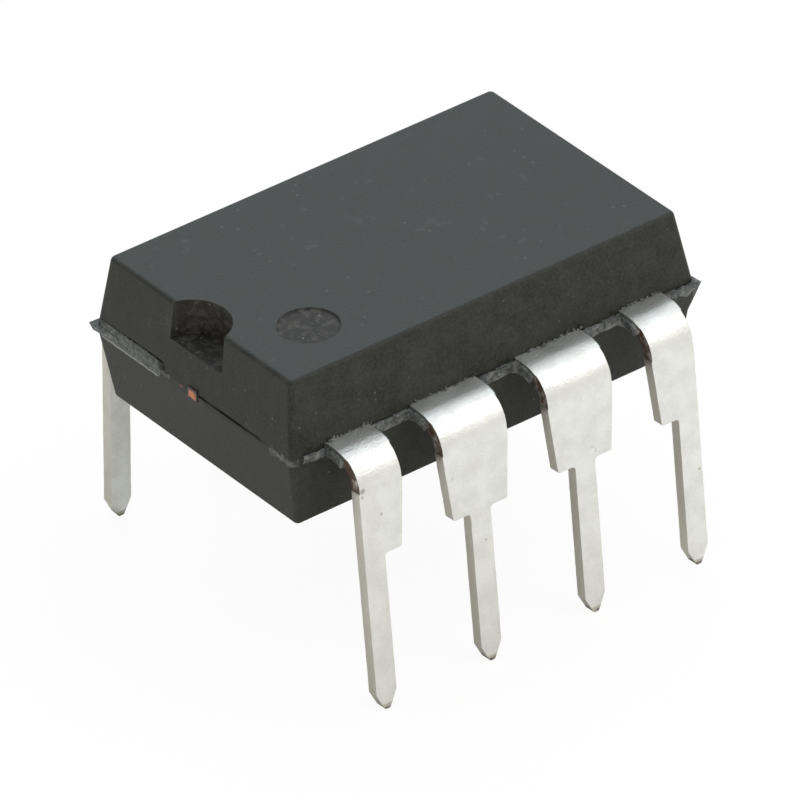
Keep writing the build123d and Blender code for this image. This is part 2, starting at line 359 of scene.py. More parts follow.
@dataclass(frozen=True)
class ResinFinish(Finish):
    """Black moulding compound: matte, with a fine grain, pale filler specks and a band of painted
    shade along the parting line.
    """

    name: str = "moulded resin"
    dark: Colour = (0.0040, 0.0041, 0.0028)
    light: Colour = (0.0350, 0.0352, 0.0270)
    speck: Colour = (0.13, 0.13, 0.12)
    scuff: Colour = (0.055, 0.055, 0.05)
    scuff_level: float = 0.68
    scuff_scale: float = 2.6
    scuff_cover: float = 0.4
    scuff_softness: float = 0.05
    speck_share: float = 0.14
    speck_cover: float = 0.5
    speck_scale: float = 5.0
    speck_size: float = 0.13
    roughness: float = 0.58
    shine: float = 0.33
    grain_scale: float = 17.0
    grain_depth: float = 0.0045
    grain_strength: float = 0.45
    fine_share: float = 0.6
    mottle_scale: float = 2.4
    # Painted shade: a dark band all round the parting line, standing in for the shade of the step
    # there.
    seam_shade: Colour = (0.005, 0.005, 0.005)
    seam_height: float = 5.5
    seam_below: float = 0.022
    seam_above: float = 0.012
    seam_shade_strength: float = 0.45
    marks: tuple[Mark, ...] = ()
    marks_beyond: float = -4.70
    chip_scale: float = 9.0
    chip_depth: float = 0.09
    chip_strength: float = 0.8

    def dress(self, tree: Tree, shader: bpy.types.Node, vector: bpy.types.NodeSocket) -> None:
        """See Finish.dress."""
        grain = tree.group(GRAIN.make(), Vector=vector, Fine_Scale=self.grain_scale,
                           Broad_Scale=self.mottle_scale)
        fine, broad = grain.outputs["Fine"], grain.outputs["Broad"]
        specks = tree.group(SPECKS.make(), Vector=vector, Scale=self.speck_scale,
                            Size=self.speck_size, Share=self.speck_share)
        scuffs = tree.group(PATCHES.make(), Vector=vector, Scale=self.scuff_scale,
                            Level=self.scuff_level, Softness=self.scuff_softness)
        # Mask of the painted shade band along the parting line.
        seam_shade = tree.group(BAND.make(), Vector=vector, Low=self.seam_height - self.seam_below,
                          High=self.seam_height + self.seam_above, Softness=0.008, Ragged=0.05,
                          Ragged_Scale=3.0)
        tone = tree.math("ADD", tree.math("MULTIPLY", fine, self.fine_share),
                         tree.math("MULTIPLY", broad, 1 - self.fine_share))
        colour = tree.mix(tone, self.dark, self.light)
        for effect, cover, shade in ((scuffs, self.scuff_cover, self.scuff),
                                     (specks, self.speck_cover, self.speck),
                                     (seam_shade, self.seam_shade_strength, self.seam_shade)):
            covered = tree.math("MULTIPLY", effect.outputs["Mask"], cover)
            colour = tree.mix(covered, colour, shade)
        normal = self.bump(tree, fine, self.grain_depth, self.grain_strength)
        if self.marks:
            colour, normal = self.mark(tree, vector, colour, normal)
        tree.join(colour, shader.inputs["Base Color"])
        tree.join(tree.ramp(tone, 0.0, 1.0, self.roughness - 0.06, self.roughness + 0.08),
                  shader.inputs["Roughness"])
        shader.inputs["Specular IOR Level"].default_value = self.shine
        tree.join(normal, shader.inputs["Normal"])

    def mark(self, tree: Tree, vector: bpy.types.NodeSocket, colour: bpy.types.NodeSocket,
             normal: bpy.types.NodeSocket) -> tuple[bpy.types.NodeSocket, bpy.types.NodeSocket]:
        """Lays the marks of the end face over the resin, among them painted shade and a painted
        highlight.

        Args:
            tree: The material's tree.
            vector: Object coordinates in millimetres.
            colour: The resin's colour.
            normal: The resin's normal.

        Returns:
            The marked colour and normal.
        """
        here = tree.math("LESS_THAN", tree.split(vector)[0], self.marks_beyond)
        chips = tree.noise(vector, self.chip_scale, 4.0, 0.7)
        mottle = tree.ramp(chips, 0.36, 0.62, 0.25, 1.0)
        height = None
        for mark in self.marks:
            window = tree.group(WINDOW.make(), Vector=vector, Y_From=mark.y_from, Y_To=mark.y_to,
                                Low=mark.low, High=mark.high, Softness=mark.softness,
                                Ragged=mark.ragged, Ragged_Scale=7.0)
            mask = tree.math("MULTIPLY", window.outputs["Mask"], here)
            cover = tree.math("MULTIPLY", mask, mark.cover)
            if mark.depth:
                cover = tree.math("MULTIPLY", cover, mottle)
                rise = tree.math("MULTIPLY", tree.math("MULTIPLY", mask, chips), mark.depth)
                height = rise if height is None else tree.math("ADD", height, rise)
            colour = tree.mix(cover, colour, mark.colour)
        return colour, self.bump(tree, height, self.chip_depth, self.chip_strength, normal)


@dataclass(frozen=True)
class Stain:
    """A ragged round stain about a point, in millimetres."""

    x: float
    y: float
    z: float
    radius: float
    colour: Colour
    cover: float

    def over(self, tree: Tree, vector: bpy.types.NodeSocket,
             colour: bpy.types.NodeSocket) -> bpy.types.NodeSocket:
        """Lays the stain over a colour and returns the result."""
        ball = tree.group(BALL.make(), Vector=vector, X=self.x, Y=self.y, Z=self.z,
                          Radius=self.radius)
        return tree.mix(tree.math("MULTIPLY", ball.outputs["Mask"], self.cover), colour,
                        self.colour)


LEAD_STAINS = (
    Stain(-3.96, -4.10, 4.93, 0.10, (0.16, 0.13, 0.09), 0.75),
    Stain(-3.98, -4.13, 4.80, 0.06, (0.20, 0.16, 0.11), 0.6),
    Stain(-3.52, -4.05, 5.08, 0.045, (0.14, 0.13, 0.11), 0.7),
    Stain(-3.58, -4.20, 4.28, 0.045, (0.30, 0.28, 0.24), 0.6),
    Stain(4.00, -3.98, 5.12, 0.07, (0.26, 0.19, 0.11), 0.6),
    Stain(-1.20, -4.30, 2.70, 0.04, (0.30, 0.28, 0.24), 0.6),
    Stain(3.98, -4.33, 2.10, 0.04, (0.24, 0.22, 0.18), 0.6),
    Stain(1.33, -4.36, 2.00, 0.035, (0.28, 0.26, 0.22), 0.6),
    Stain(-3.80, 4.00, 1.60, 0.06, (0.25, 0.21, 0.12), 0.7),
)


@dataclass(frozen=True)
class PlatingFinish(Finish):
    """Matte tin plate, worn to copper alloy where the sheet was cut, with painted shade on the
    leads' side faces.
    """

    name: str = "tin plate"
    bright: Colour = (0.80, 0.795, 0.765)
    dull: Colour = (0.70, 0.695, 0.66)
    grime: Colour = (0.24, 0.215, 0.17)
    bare: Colour = (0.075, 0.042, 0.024)
    # Painted shade: the leads' side faces are coloured darker and warmer than their broad faces.
    side: Colour = (0.47, 0.44, 0.375)
    broad_share: float = 0.65
    roughness: float = 0.46

    def dress(self, tree: Tree, shader: bpy.types.Node, vector: bpy.types.NodeSocket) -> None:
        """See Finish.dress."""
        grain = tree.group(GRAIN.make(), Vector=vector, Fine_Scale=22.0, Broad_Scale=2.2)
        fine, broad = grain.outputs["Fine"], grain.outputs["Broad"]
        stains = tree.group(PATCHES.make(), Vector=vector, Scale=2.4, Level=0.72, Softness=0.04)
        dots = tree.group(SPECKS.make(), Vector=vector, Scale=2.2, Size=0.11, Share=0.10)
        cut = tree.add("ShaderNodeAttribute", attribute_name=CUT_AND_SIDE_SHADE_LAYER)
        worn = tree.group(PATCHES.make(), Vector=vector, Scale=4.0, Level=0.42, Softness=0.12)
        share = cut.outputs["Fac"]
        bare = tree.math("MULTIPLY", tree.ramp(share, 0.5, 1.0), worn.outputs["Mask"], clamp=True)
        tone = tree.math("ADD", tree.math("MULTIPLY", fine, 1 - self.broad_share),
                         tree.math("MULTIPLY", broad, self.broad_share))
        colour = tree.mix(tone, self.dull, self.bright)
        dirt = tree.math("MAXIMUM", tree.math("MULTIPLY", stains.outputs["Mask"], 0.35),
                         tree.math("MULTIPLY", dots.outputs["Mask"], 0.5))
        colour = tree.mix(dirt, colour, self.grime)
        # Painted shade on the side faces, from the smaller share of the cut layer.
        colour = tree.mix(tree.ramp(share, 0.0, 0.4, 0.0, 0.8), colour, self.side)
        colour = tree.mix(bare, colour, self.bare)
        for stain in LEAD_STAINS:
            colour = stain.over(tree, vector, colour)
        tree.join(colour, shader.inputs["Base Color"])
        tree.join(tree.ramp(bare, 0.0, 1.0, 1.0, 0.35), shader.inputs["Metallic"])
        tree.join(tree.ramp(tone, 0.0, 1.0, self.roughness + 0.06, self.roughness - 0.05),
                  shader.inputs["Roughness"])
        streaks = tree.add("ShaderNodeMapping")
        streaks.inputs["Scale"].default_value = (0.30, 1.6, 1.6)
        tree.join(vector, streaks.inputs["Vector"])
        drawn = tree.noise(streaks.outputs[0], 9.0, 3.0, 0.6)
        pits = tree.ramp(tree.noise(vector, 17.0, 3.0, 0.65), 0.3, 0.7)
        normal = self.bump(tree, pits, 0.009, 0.4)
        normal = self.bump(tree, drawn, 0.012, 0.35, normal)
        tree.join(normal, shader.inputs["Normal"])


@dataclass(frozen=True)
class MetalFinish(Finish):
    """A plain metal with a fine grain and slight tarnish."""

    name: str = "metal"
    bright: Colour = (0.8, 0.5, 0.3)
    dull: Colour = (0.5, 0.3, 0.2)
    roughness: float = 0.4
    metallic: float = 1.0

    def dress(self, tree: Tree, shader: bpy.types.Node, vector: bpy.types.NodeSocket) -> None:
        """See Finish.dress."""
        grain = tree.group(GRAIN.make(), Vector=vector, Fine_Scale=30.0, Broad_Scale=6.0)
        tone = tree.math("MULTIPLY", grain.outputs["Fine"], grain.outputs["Broad"])
        tree.join(tree.mix(tone, self.dull, self.bright), shader.inputs["Base Color"])
        shader.inputs["Metallic"].default_value = self.metallic
        tree.join(tree.ramp(tone, 0.0, 1.0, self.roughness + 0.1, self.roughness - 0.05),
                  shader.inputs["Roughness"])
        normal = self.bump(tree, grain.outputs["Fine"], 0.004, 0.4)
        tree.join(normal, shader.inputs["Normal"])


@dataclass(frozen=True)
class TieFinish(MetalFinish):
    """Copper alloy with resin smeared over the sheared ends of the paddle's ties."""

    smear: Colour = (0.02, 0.018, 0.014)
    end: float = 4.87

    def dress(self, tree: Tree, shader: bpy.types.Node, vector: bpy.types.NodeSocket) -> None:
        """See Finish.dress."""
        super().dress(tree, shader, vector)
        clean = tree.group(WINDOW.make(), Vector=vector, Y_From=-0.12, Y_To=0.13, Low=5.36,
                           High=5.525, Softness=0.03, Ragged=0.12, Ragged_Scale=9.0)
        at_end = tree.math("GREATER_THAN", tree.math("ABSOLUTE", tree.split(vector)[0]), self.end)
        covered = tree.math("MULTIPLY", tree.math("SUBTRACT", 1.0, clean.outputs["Mask"]), at_end)
        metal = shader.inputs["Base Color"].links[0].from_socket
        tree.join(tree.mix(covered, metal, self.smear), shader.inputs["Base Color"])
        tree.join(tree.math("SUBTRACT", 1.0, covered), shader.inputs["Metallic"])


# Vertex layer: 1 where bare copper shows at cuts, and a smaller share on the other side faces for
# their painted shade.
CUT_AND_SIDE_SHADE_LAYER = "bare_cut"
RESIN = ResinFinish(marks=END_MARKS_AND_PAINTED_LIGHT)
BROKEN_RESIN = ResinFinish(name="broken resin", dark=(0.008, 0.008, 0.007),
                           light=(0.155, 0.160, 0.158), speck=(0.45, 0.45, 0.42),
                           scuff=(0.29, 0.295, 0.28), scuff_level=0.56, scuff_scale=5.0,
                           scuff_cover=0.6, scuff_softness=0.12, speck_share=0.3,
                           speck_size=0.16, roughness=0.62,
                           grain_depth=0.03, mottle_scale=7.0, seam_shade_strength=0.0)
SUNK_RESIN = ResinFinish(name="sunk resin", dark=(0.004, 0.0036, 0.0028),
                         light=(0.034, 0.031, 0.025), speck=(0.30, 0.30, 0.275),
                         scuff=(0.10, 0.092, 0.078), scuff_level=0.56, scuff_scale=5.0,
                         scuff_softness=0.10, speck_share=0.40, speck_scale=6.0,
                         speck_size=0.15, speck_cover=0.5, roughness=0.70, grain_depth=0.010,
                         mottle_scale=6.0, seam_shade_strength=0.0)
PLATING = PlatingFinish()
COPPER = TieFinish(name="copper alloy", bright=(0.62, 0.25, 0.125), dull=(0.34, 0.12, 0.06))
SILICON = MetalFinish(name="silicon", bright=(0.34, 0.35, 0.40), dull=(0.20, 0.21, 0.26),
                      roughness=0.2, metallic=0.0)
ADHESIVE = MetalFinish(name="silver adhesive", bright=(0.62, 0.62, 0.60), dull=(0.42, 0.42, 0.41),
                       roughness=0.5, metallic=0.6)
GOLD = MetalFinish(name="gold wire", bright=(0.95, 0.68, 0.25), dull=(0.80, 0.54, 0.18),
                   roughness=0.25)


# --------------------------------------------------------------------------
# Mesh helpers
# --------------------------------------------------------------------------


def piece_from(name: str, mesh: bmesh.types.BMesh, finishes: Sequence[Finish]) -> bpy.types.Object:
    """Makes an object of a mesh that is already in place, in metres.

    Args:
        name: Name of the object and its mesh.
        mesh: The mesh, which is freed.
        finishes: Finishes in the order of the faces' material numbers.

    Returns:
        The object, linked to the scene and smooth shaded.
    """
    data = bpy.data.meshes.new(name)
    mesh.to_mesh(data)
    mesh.free()
    for finish in finishes:
        data.materials.append(finish.make())
    data.shade_smooth()
    thing = bpy.data.objects.new(name, data)
    bpy.context.scene.collection.objects.link(thing)
    log.info("piece %s: %d vertices", name, len(data.vertices))
    return thing


def within(value: float, span: tuple[float, float]) -> bool:
    """Whether a value lies between the two ends of a span."""
    return span[0] < value < span[1]


def mark_sharp(mesh: bmesh.types.BMesh, degrees: float) -> None:
    """Marks the edges whose faces meet at more than an angle as sharp."""
    limit = math.radians(degrees)
    for edge in mesh.edges:
        edge.smooth = len(edge.link_faces) == 2 and edge.calc_face_angle(0.0) < limit


def weight_normals(thing: bpy.types.Object) -> None:
    """Lets the large faces set the shading, so that they stay flat."""
    modifier = thing.modifiers.new("weighted normals", "WEIGHTED_NORMAL")
    modifier.keep_sharp = True
    modifier.weight = 90


# --------------------------------------------------------------------------
# Sub-assemblies
# --------------------------------------------------------------------------


@dataclass
class LeadSheet:
    """One row's leads, each cut flat from sheet, edge-rounded and then bent.

    Lengths are in millimetres.  A flat blank lies in X and `along`, which is the
    distance outwards from the package's centre line before bending.
    """

    thickness: float = 0.25
    top: float = 5.58
    bend_start: float = 3.45
    bend_radius: float = 0.70
    splay: float = 3.6
    shoulder_top: float = 1.57
    shoulder_bottom: float = 1.31
    shoulder_height: float = 3.39
    leg: float = 0.48
    tip: float = 0.15
    tip_length: float = 0.37
    body_side: float = 3.15
    root_depth: float = 0.45
    root_slope: float = 0.35
    finger: float = 0.86
    finger_tip: float = 1.45
    arm: float = 0.80
    foot_near: float = 0.445
    foot_far: float = 1.145
    foot_end: float = -1.90
    hole: float = 0.40
    cut_depth: float = 0.015
    cut_angle: float = 28.0
    # Share of the painted shade given to the side faces.
    edge_radius: float = 0.022
    side_shade_share: float = 0.4
    ragged_step: float = 0.12
    ragged_depth: float = 0.006
    bend_steps: int = 22
    leg_step: float = 0.35
    leg_steps: int = 13
    side_normal: float = 0.55
    pitch: float = 2.54
    count: int = 4

    @property
    def turn(self) -> float:
        """Angle of the whole bend in radians."""
        return math.radians(90 - self.splay)

    @property
    def middle_radius(self) -> float:
        """Radius of the bend at the middle of the sheet."""
        return self.bend_radius - self.thickness / 2

    @property
    def bend_end(self) -> float:
        """Distance along the blank at which the bend ends."""
        return self.bend_start + self.middle_radius * self.turn

    def along_at(self, height: float) -> float:
        """Distance along the blank of a height on the straight leg."""
        centre = self.top - self.bend_radius
        end = centre + self.middle_radius * math.cos(self.turn)
        return self.bend_end + (end - height) / math.sin(self.turn)

    def bent(self, point: Vector) -> Vector:
        """Takes a point of the flat blank to its place on the bent lead.

        Args:
            point: X, distance along the blank, and height above the sheet's middle.

        Returns:
            The point in the front row's place, in millimetres.
        """
        across, along, lift = point
        middle = self.top - self.thickness / 2
        if along <= self.bend_start:
            return Vector((across, -along, middle + lift))
        angle = min((along - self.bend_start) / self.middle_radius, self.turn)
        rest = max(along - self.bend_end, 0.0)
        radius = self.middle_radius + lift
        out = self.bend_start + radius * math.sin(angle) + rest * math.cos(self.turn)
        height = (self.top - self.bend_radius + radius * math.cos(angle)
                  - rest * math.sin(self.turn))
        return Vector((across, -out, height))

    def sides(self, column: int) -> tuple[bool, bool]:
        """Whether a lead has a shoulder on its left and on its right."""
        return column > 0, column < self.count - 1

    def outer_edge(self, shouldered: bool) -> list[tuple[float, float]]:
        """Half widths along the blank from the body's side to the blunt tip."""
        tip = self.along_at(0.0)
        half = self.leg / 2
        cut_from = self.bend_start + self.middle_radius * math.radians(self.cut_angle)
        cut_to = self.bend_end + 0.03
        wide = self.shoulder_top / 2 if shouldered else half
        edge = [(wide, self.body_side), (wide, cut_from)]
        edge += [(wide - self.cut_depth, cut_from + 0.02), (wide - self.cut_depth, cut_to)]
        edge += [(wide, cut_to + 0.015)]
        if shouldered:
            low, step = self.shoulder_bottom / 2, self.along_at(self.shoulder_height)
            edge += self.corner(low, step - 0.06, low, step, low - 0.06, step)
            edge += self.corner(half + 0.10, step, half, step, half, step + 0.10)
        edge += [(half, tip - self.tip_length), (self.tip / 2, tip - 0.03)]
        edge += [(self.tip / 2 - 0.025, tip)]
        return edge

    @staticmethod
    def corner(x0: float, y0: float, x1: float, y1: float,
               x2: float, y2: float) -> list[tuple[float, float]]:
        """A rounded corner from one point to another round a third."""
        points = []
        for step in range(6):
            t = step / 5
            points.append(((1 - t) ** 2 * x0 + 2 * t * (1 - t) * x1 + t * t * x2,
                           (1 - t) ** 2 * y0 + 2 * t * (1 - t) * y1 + t * t * y2))
        return points

    def inner_edges(self, column: int) -> tuple[list, list]:
        """Left and right edges inside the body, from the inner end to its side."""
        root_end = self.body_side - self.root_depth
        slope_end = root_end - self.root_slope
        if 0 < column < self.count - 1:
            side = [(self.finger / 2, self.finger_tip), (self.finger / 2, slope_end),
                    (self.shoulder_top / 2, root_end)]
            return [(-x, y) for x, y in side], side
        outer, inner = -self.leg / 2, self.shoulder_top / 2
        foot = -self.foot_end + self.x_of(0)
        left = [(outer, self.foot_near)]
        right = [(-foot, self.foot_near), (-foot, self.foot_far),
                 (outer + self.arm, self.foot_far), (outer + self.arm, slope_end),
                 (inner, root_end)]
        if column == 0:
            return left, right
        return [(-x, y) for x, y in right], [(-x, y) for x, y in left]

    def x_of(self, column: int) -> float:
        """X of a lead's centre line."""
        return (column - (self.count - 1) / 2) * self.pitch

    def hole_place(self, column: int) -> tuple[float, float]:
        """Centre of the hole that locks a lead in the body."""
        along = self.body_side - self.root_depth - self.root_slope / 2
        if 0 < column < self.count - 1:
            return 0.0, along
        side = 1 if column == 0 else -1
        return side * (self.arm / 2 - self.leg / 2), along

    def ragged(self, points: list[tuple[float, float]], seed: float) -> list[tuple[float, float]]:
        """Adds points along an outline's outer stretches and roughens them slightly."""
        result = []
        for (x0, y0), (x1, y1) in zip(points, points[1:]):
            length = math.hypot(x1 - x0, y1 - y0)
            outside = min(y0, y1) >= self.body_side
            steps = max(1, round(length / self.ragged_step)) if outside else 1
            for step in range(steps):
                t = step / steps
                x, y = x0 + (x1 - x0) * t, y0 + (y1 - y0) * t
                if 0 < step:
                    x += self.ragged_depth * noise.noise(Vector((x * 3 + seed, y * 6, seed)))
                result.append((x, y))
        result.append(points[-1])
        return result

    def outline(self, column: int) -> list[tuple[float, float]]:
        """The whole blank's outline about the lead's centre line."""
        left_wide, right_wide = self.sides(column)
        left_in, right_in = self.inner_edges(column)
        right = self.ragged(right_in + self.outer_edge(right_wide), 7.0 + column)
        mirrored = [(-x, y) for x, y in self.outer_edge(left_wide)]
        left = self.ragged(left_in + mirrored, 31.0 + column)
        return right + left[::-1]

    def blank(self, column: int) -> bmesh.types.BMesh:
        """The flat blank with its hole, its thickness and its rounded edges."""
        mesh = bmesh.new()
        loops = [self.outline(column)]
        hole_x, hole_y = self.hole_place(column)
        loops.append([(hole_x + self.hole / 2 * math.cos(a), hole_y + self.hole / 2 * math.sin(a))
                      for a in (math.tau * i / 24 for i in range(24))])
        for loop in loops:
            corners = [mesh.verts.new((x, y, -self.thickness / 2)) for x, y in loop]
            for a, b in zip(corners, corners[1:] + corners[:1]):
                mesh.edges.new((a, b))
        bmesh.ops.triangle_fill(mesh, edges=mesh.edges[:], use_beauty=True, normal=(0, 0, -1))
        grown = bmesh.ops.extrude_face_region(mesh, geom=mesh.faces[:])
        lifted = [v for v in grown["geom"] if isinstance(v, bmesh.types.BMVert)]
        bmesh.ops.translate(mesh, vec=(0, 0, self.thickness), verts=lifted)
        bmesh.ops.recalc_face_normals(mesh, faces=mesh.faces[:])
        rims = [e for e in mesh.edges if len(e.link_faces) == 2 and e.calc_face_angle(0.0) > 1.2
                and abs(e.verts[0].co.z - e.verts[1].co.z) < 1e-6]
        bmesh.ops.bevel(mesh, geom=rims, offset=self.edge_radius, segments=3, profile=0.5,
                        affect="EDGES", clamp_overlap=True)
        return mesh

    def fold(self, mesh: bmesh.types.BMesh) -> None:
        """Slices the blank across and bends it."""
        places = [self.bend_start + self.middle_radius * self.turn * i / self.bend_steps
                  for i in range(self.bend_steps + 1)]
        places += [self.bend_end + self.leg_step * i for i in range(1, self.leg_steps + 1)]
        for place in places:
            bmesh.ops.bisect_plane(mesh, geom=mesh.verts[:] + mesh.edges[:] + mesh.faces[:],
                                   plane_co=(0, place, 0), plane_no=(0, 1, 0), dist=1e-7)
        for vertex in mesh.verts:
            vertex.co = self.bent(vertex.co)
            vertex.co.z = max(vertex.co.z, 0.0)

    def mark_cuts_and_side_shade(self, mesh: bmesh.types.BMesh) -> None:
        """Marks where the cut edges show bare copper: the dam bar's stubs and the tip. The other
        side faces get a smaller share, which paints shade on them.
        """
        layer = mesh.verts.layers.float.new(CUT_AND_SIDE_SHADE_LAYER)
        cut_from = self.bend_start + self.middle_radius * math.radians(self.cut_angle)
        tip = self.along_at(0.0)
        for vertex in mesh.verts:
            beyond_side = abs(vertex.normal.x) > self.side_normal
            in_cut = cut_from - 0.03 < vertex.co.y < self.bend_end + 0.04
            at_tip = vertex.co.y > tip - 0.035
            if (beyond_side and in_cut) or at_tip:
                vertex[layer] = 1.0
            else:
                vertex[layer] = self.side_shade_share if beyond_side else 0.0

    def make(self, column: int, row: Row) -> bpy.types.Object:
        """Builds a lead in its place and sets it in for its CAD node.

        Args:
            column: Place in the row, counted from the notched end in the front row.
            row: The row. The back row is the front row turned half round.
        """
        number = column + 1 if row is Row.FRONT else column + 1 + self.count
        mesh = self.blank(column)
        mesh.normal_update()
        self.mark_cuts_and_side_shade(mesh)
        self.fold(mesh)
        place = Matrix.Translation((self.x_of(column), 0, 0))
        if row is Row.BACK:
            place = Matrix.Rotation(math.pi, 4, "Z") @ place
        bmesh.ops.transform(mesh, matrix=Matrix.Scale(MM, 4) @ place, verts=mesh.verts[:])
        bmesh.ops.recalc_face_normals(mesh, faces=mesh.faces[:])
        mark_sharp(mesh, 50)
        lead = piece_from(f"lead_{number}_plated", mesh, [PLATING])
        weight_normals(lead)
        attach(lead, BODY)
        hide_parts(f"lead_{number}")
        return lead

    def make_all(self) -> None:
        """Builds both rows."""
        for row in Row:
            for column in range(self.count):
                self.make(column, row)


@dataclass
class MouldedBody:
    """The resin body: its CAD shape with smooth shading and ragged resin edges."""

    node: str = "moulded_body"
    sharp_angle: float = 32.0
    flange_low: float = 5.31
    flange_high: float = 5.60
    slice_gap: float = 0.055
    rough: float = 0.018
    rough_end: float = 0.03
    side: float = 3.15
    end: float = 4.88
    top: float = 7.07
    dimple: tuple[float, float] = (-3.17, -1.52)
    dimple_radius: float = 0.63
    notch_radius: float = 0.84
    notch_depth: float = 0.80
    notch_wall: float = -4.55
    parting: float = 5.50
    scar_top: float = 5.675
    carve_beyond: float = -4.80
    carve_deep: float = 0.12
    carve_close: float = 0.004
    seam_span: tuple[float, float] = (-2.25, -0.17)
    seam_fade: tuple[float, float] = (-2.35, 0.9)
    scar_span: tuple[float, float] = (1.0, 2.95)
    pit_span: tuple[float, float] = (0.90, 1.10)
    pit_top: float = 5.62
    pit_share: float = 1.3
    carve_low: float = 5.43
    carve_start: float = -2.40
    carve_step: float = 0.06
    carve_steps: int = 92

    def make(self) -> bpy.types.Object:
        """Builds the body's piece and sets it in for its CAD node."""
        mesh = bmesh.new()
        mesh.from_mesh(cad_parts[self.node].data)
        bmesh.ops.remove_doubles(mesh, verts=mesh.verts[:], dist=1e-8)
        self.carve(mesh)
        self.slice_flange(mesh)
        self.roughen(mesh)
        mark_sharp(mesh, self.sharp_angle)
        for face in mesh.faces:
            face.material_index = 1 if self.is_broken(face) else 2 if self.is_sunk(face) else 0
        body = piece_from("moulded_body_skin", mesh, [RESIN, BROKEN_RESIN, SUNK_RESIN])
        weight_normals(body)
        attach(body, BODY)
        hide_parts(self.node)
        return body

    def proud(self, point: Vector) -> bool:
        """Whether a point in metres lies on the flange or a strip, off the body's sides."""
        x, y, z = (value / MM for value in point)
        level = self.flange_low < z < self.flange_high + 0.01
        return level and (abs(y) > self.side + 0.02 or abs(x) > self.end + 0.01)

    def is_broken(self, face: bmesh.types.BMFace) -> bool:
        """Whether a face belongs to the torn resin beyond the body's sides."""
        return self.proud(face.calc_center_median())

    def is_sunk(self, face: bmesh.types.BMFace) -> bool:
        """Whether a face belongs to the round recess or to the notch."""
        x, y, z = (value / MM for value in face.calc_center_median())
        if z > self.top - 0.003:
            return False
        in_dimple = math.hypot(x - self.dimple[0], y - self.dimple[1]) < self.dimple_radius
        in_notch = (math.hypot(x + self.end, y) < self.notch_radius + 0.2
                    and (face.normal.x > -0.97 or x > self.notch_wall)
                    and z > self.top - self.notch_depth - 0.1)
        return in_dimple or in_notch

    def carve_depth(self, y: float, z: float) -> float:
        """How far a point of the notched end's face is pushed in, in millimetres."""
        wave = 0.65 + 0.6 * noise.noise(Vector((y * 7.0, z * 7.0, 0.0)))
        if abs(z - self.parting) < self.carve_close and within(y, self.seam_span):
            start, length = self.seam_fade
            return self.carve_deep * wave * min(1.0, (y - start) / length)
        if abs(z - self.scar_top) < self.carve_close and within(y, self.scar_span):
            return self.carve_deep * wave
        if within(y, self.pit_span) and self.parting - 0.02 < z < self.pit_top:
            return self.pit_share * self.carve_deep * wave
        return 0.0

    def on_scarred_end(self, face: bmesh.types.BMFace, axis: int) -> bool:
        """Whether a face of the notched end is cut, for a cut across an axis."""
        if face.normal.x > -0.9:
            return False
        x, _, z = (value / MM for value in face.calc_center_median())
        if x > self.carve_beyond:
            return False
        return axis == 2 or self.carve_low < z < self.scar_top + 0.03

    def carve(self, mesh: bmesh.types.BMesh) -> None:
        """Sinks the seam, the scar's upper line and its pit into the notched end."""
        heights = (5.44, 5.462, self.parting, 5.525, 5.56, 5.60, self.scar_top - 0.025,
                   self.scar_top, self.scar_top + 0.02)
        cuts = [(2, height) for height in heights]
        cuts += [(1, self.carve_start + self.carve_step * step)
                 for step in range(self.carve_steps)]
        for axis, place in cuts:
            point, across = Vector(), Vector()
            point[axis], across[axis] = place * MM, 1.0
            faces = [f for f in mesh.faces if self.on_scarred_end(f, axis)]
            around = {v for f in faces for v in f.verts} | {e for f in faces for e in f.edges}
            bmesh.ops.bisect_plane(mesh, geom=list(around) + faces, plane_co=point,
                                   plane_no=across, dist=1e-8)
        for vertex in mesh.verts:
            x, y, z = (value / MM for value in vertex.co)
            if x < self.carve_beyond and not self.proud(vertex.co):
                vertex.co.x += self.carve_depth(y, z) * MM

    def slice_flange(self, mesh: bmesh.types.BMesh) -> None:
        """Cuts the flange into short lengths that can be roughened."""
        steps = round(2 * self.end / self.slice_gap)
        for step in range(1, steps):
            place = (-self.end + step * self.slice_gap) * MM
            faces = [f for f in mesh.faces if any(self.proud(v.co) for v in f.verts)]
            around = {v for f in faces for v in f.verts} | {e for f in faces for e in f.edges}
            bmesh.ops.bisect_plane(mesh, geom=list(around) + faces, plane_co=(place, 0, 0),
                                   plane_no=(1, 0, 0), dist=1e-8)

    def roughen(self, mesh: bmesh.types.BMesh) -> None:
        """Moves the flange's outer edge in and out by a noise."""
        for vertex in mesh.verts:
            if not self.proud(vertex.co):
                continue
            at = vertex.co / MM
            wave = noise.fractal(Vector((at.x * 5.0, at.y * 5.0, at.z * 4.0)), 1.0, 2.0, 3)
            if abs(at.y) < self.side - 0.1:
                vertex.co.x -= math.copysign(self.rough_end * MM * (0.5 + wave), vertex.co.x)
                vertex.co.z += self.rough_end * MM * 0.8 * wave
            else:
                vertex.co.y -= math.copysign(self.rough * MM * (0.6 + wave), vertex.co.y)
                vertex.co.z += self.rough * MM * 0.5 * wave


